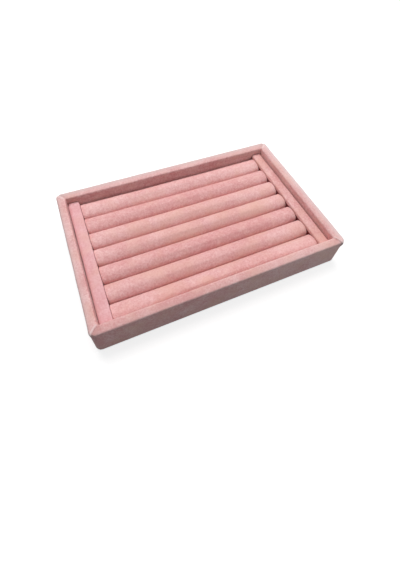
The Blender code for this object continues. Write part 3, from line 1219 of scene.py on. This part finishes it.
        # Painted shade low on the side that the rolls lie against, and on the outer side a painted shadow of
        # the wall that grows towards the back
        outward = np.abs(points[:, 0]) - abs(centre.x)
        deep = (outward < 0) * ease(high.z - points[:, 2], start=2.8 * MM, over=1.3 * MM)
        shaded = look.shaded * ease(outward, start=0, over=3 * MM) * (1 + points[:, 1] / high.y)
        steers = {"cut": look.seed, "lay": look.lay, "nap": -look.crushed * deep - shaded}
        add_smoothing(add_piece(f"{look.side}_rail", mesh, look.finish, self.body, [node], **steers))

    def build(self) -> None:
        """Makes the rolls and rails, and dresses what lies inside and under them."""
        for number, look in enumerate(self.rolls, 1):
            self.roll(number, look)
            dress(f"roll_foam_{number}", FOAM)
        for look in self.rails:
            self.rail(look)
            dress(f"{look.side}_rail_core", FIBREBOARD)
        dress("insert_card", CARD)


@dataclass(frozen=True)
class Studio:
    """Plain white floor, soft light from above and a little behind, and the photograph's camera."""

    eye: Vector = Vector((-88.4, -176.7, 275.8)) * MM
    aim: Vector = Vector((0.2796, 0.5528, -0.7850))
    roll: float = 4.46
    focal_length: float = 21.63
    shift: Spot = (0.0046, -0.1105)
    clip: Spot = (0.01, 20.0)
    floor_size: float = 4.0
    floor_seen: tuple[float, float, float, float] = (0.5, 0.5, 0.5, 1.0)
    floor_bounce: str = "#7f878a"
    sky: str = "#eefcff"
    sky_strength: float = 0.345
    lamp_colour: str = "#fff4f2"

    def camera(self) -> None:
        """Sets the camera at the photograph's viewpoint."""
        data = bpy.data.cameras.new("camera")
        data.lens = self.focal_length
        data.shift_x, data.shift_y = self.shift
        data.clip_start, data.clip_end = self.clip
        camera = add_object("camera", data)
        level = self.aim.to_track_quat("-Z", "Y")
        camera.rotation_mode = "QUATERNION"
        camera.rotation_quaternion = level @ Quaternion((0, 0, 1), math.radians(self.roll))
        camera.location = self.eye
        bpy.context.scene.camera = camera

    def backdrop_share(self, tree: Tree) -> Node:
        """Finds whether a ray shows the background: a camera, glossy or transmission ray.

        Args:
            tree: the tree that asks.

        Returns:
            The node that says 1 for such a ray, and 0 for any other.
        """
        ray = add_node(tree, "ShaderNodeLightPath").outputs
        share = ray["Is Camera Ray"]
        for kind in ("Is Glossy Ray", "Is Transmission Ray"):
            share = add_node(tree, "ShaderNodeMath", {0: share, 1: ray[kind]}, operation="MAXIMUM")
        return share

    def floor(self) -> None:
        """A wide white floor. It keeps the tray's shadow and bounces less light than it shows."""
        half = self.floor_size / 2
        mesh = bpy.data.meshes.new("floor")
        corners = [(-half, -half, 0), (half, -half, 0), (half, half, 0), (-half, half, 0)]
        mesh.from_pydata(corners, [], [(0, 1, 2, 3)])
        material = bpy.data.materials.new("white paper floor")
        material.use_nodes = True
        tree = material.node_tree
        seen = self.backdrop_share(tree)
        inputs = {"Factor": seen, FIRST: linear(self.floor_bounce), SECOND: self.floor_seen}
        colour = add_node(tree, "ShaderNodeMix", inputs, data_type="RGBA")
        # The paper glows so that it shows white, and less so near the tray, where its shadow falls
        place = add_node(tree, "ShaderNodeTexCoord").outputs["Object"]
        away = add_node(tree, "ShaderNodeVectorMath", {0: place}, operation="LENGTH").outputs["Value"]
        inputs = {"Value": away, "From Min": 0.25, "From Max": 1.1, "To Min": 0.7, "To Max": 1.0}
        shown = add_node(tree, "ShaderNodeMapRange", inputs)
        glow = add_node(tree, "ShaderNodeMath", {0: seen, 1: shown}, operation="MULTIPLY")
        surface = {
            "Base Color": colour.outputs[BLEND],
            "Roughness": 1.0,
            "Specular IOR Level": 0.0,
            "Emission Color": (1.0, 1.0, 1.0, 1.0),
            "Emission Strength": glow,
        }
        feed(tree, tree.nodes["Principled BSDF"], surface)
        mesh.materials.append(material)
        add_object("floor", mesh)

    def world(self) -> None:
        """An even pale sky, which the camera and reflections see as white."""
        world = bpy.data.worlds.new("studio")
        world.use_nodes = True
        bpy.context.scene.world = world
        tree = world.node_tree
        seen = self.backdrop_share(tree)
        inputs = {"Factor": seen, FIRST: linear(self.sky), SECOND: (1.0, 1.0, 1.0, 1.0)}
        colour = add_node(tree, "ShaderNodeMix", inputs, data_type="RGBA")
        inputs = {"Value": seen, "To Min": self.sky_strength, "To Max": 1.0}
        strength = add_node(tree, "ShaderNodeMapRange", inputs)
        feed(tree, tree.nodes["Background"], {"Color": colour.outputs[BLEND], "Strength": strength})

    def lamp(self, name: str, place: Vector, size: float, watts: float) -> None:
        """Adds a square area lamp that faces the tray.

        Args:
            name: the lamp's name.
            place: where it hangs.
            size: its side.
            watts: its power.
        """
        data = bpy.data.lights.new(name, "AREA")
        data.shape, data.size = "SQUARE", size
        data.energy = watts
        data.color = linear(self.lamp_colour)[:3]
        lamp = add_object(name, data)
        lamp.location = place
        lamp.rotation_mode = "QUATERNION"
        lamp.rotation_quaternion = (-place).to_track_quat("-Z", "Y")

    def build(self) -> None:
        """Sets up camera, floor, sky and lamps."""
        self.camera()
        self.floor()
        self.world()
        self.lamp("key", place=Vector((-0.02, 0.36, 0.93)), size=0.6, watts=7.3)
        self.lamp("fill", place=Vector((0.75, -0.25, 0.5)), size=0.4, watts=1.5)
        bpy.context.scene.view_settings.view_transform = "Standard"


def main() -> None:
    """Loads the frame, and builds the tray, its insert and the studio."""
    logging.basicConfig(level=logging.INFO, format="%(message)s")
    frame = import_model()
    WrappedTray.from_frame().build()
    RingInsert().build()
    Studio().build()


if __name__ == "__main__":
    main()
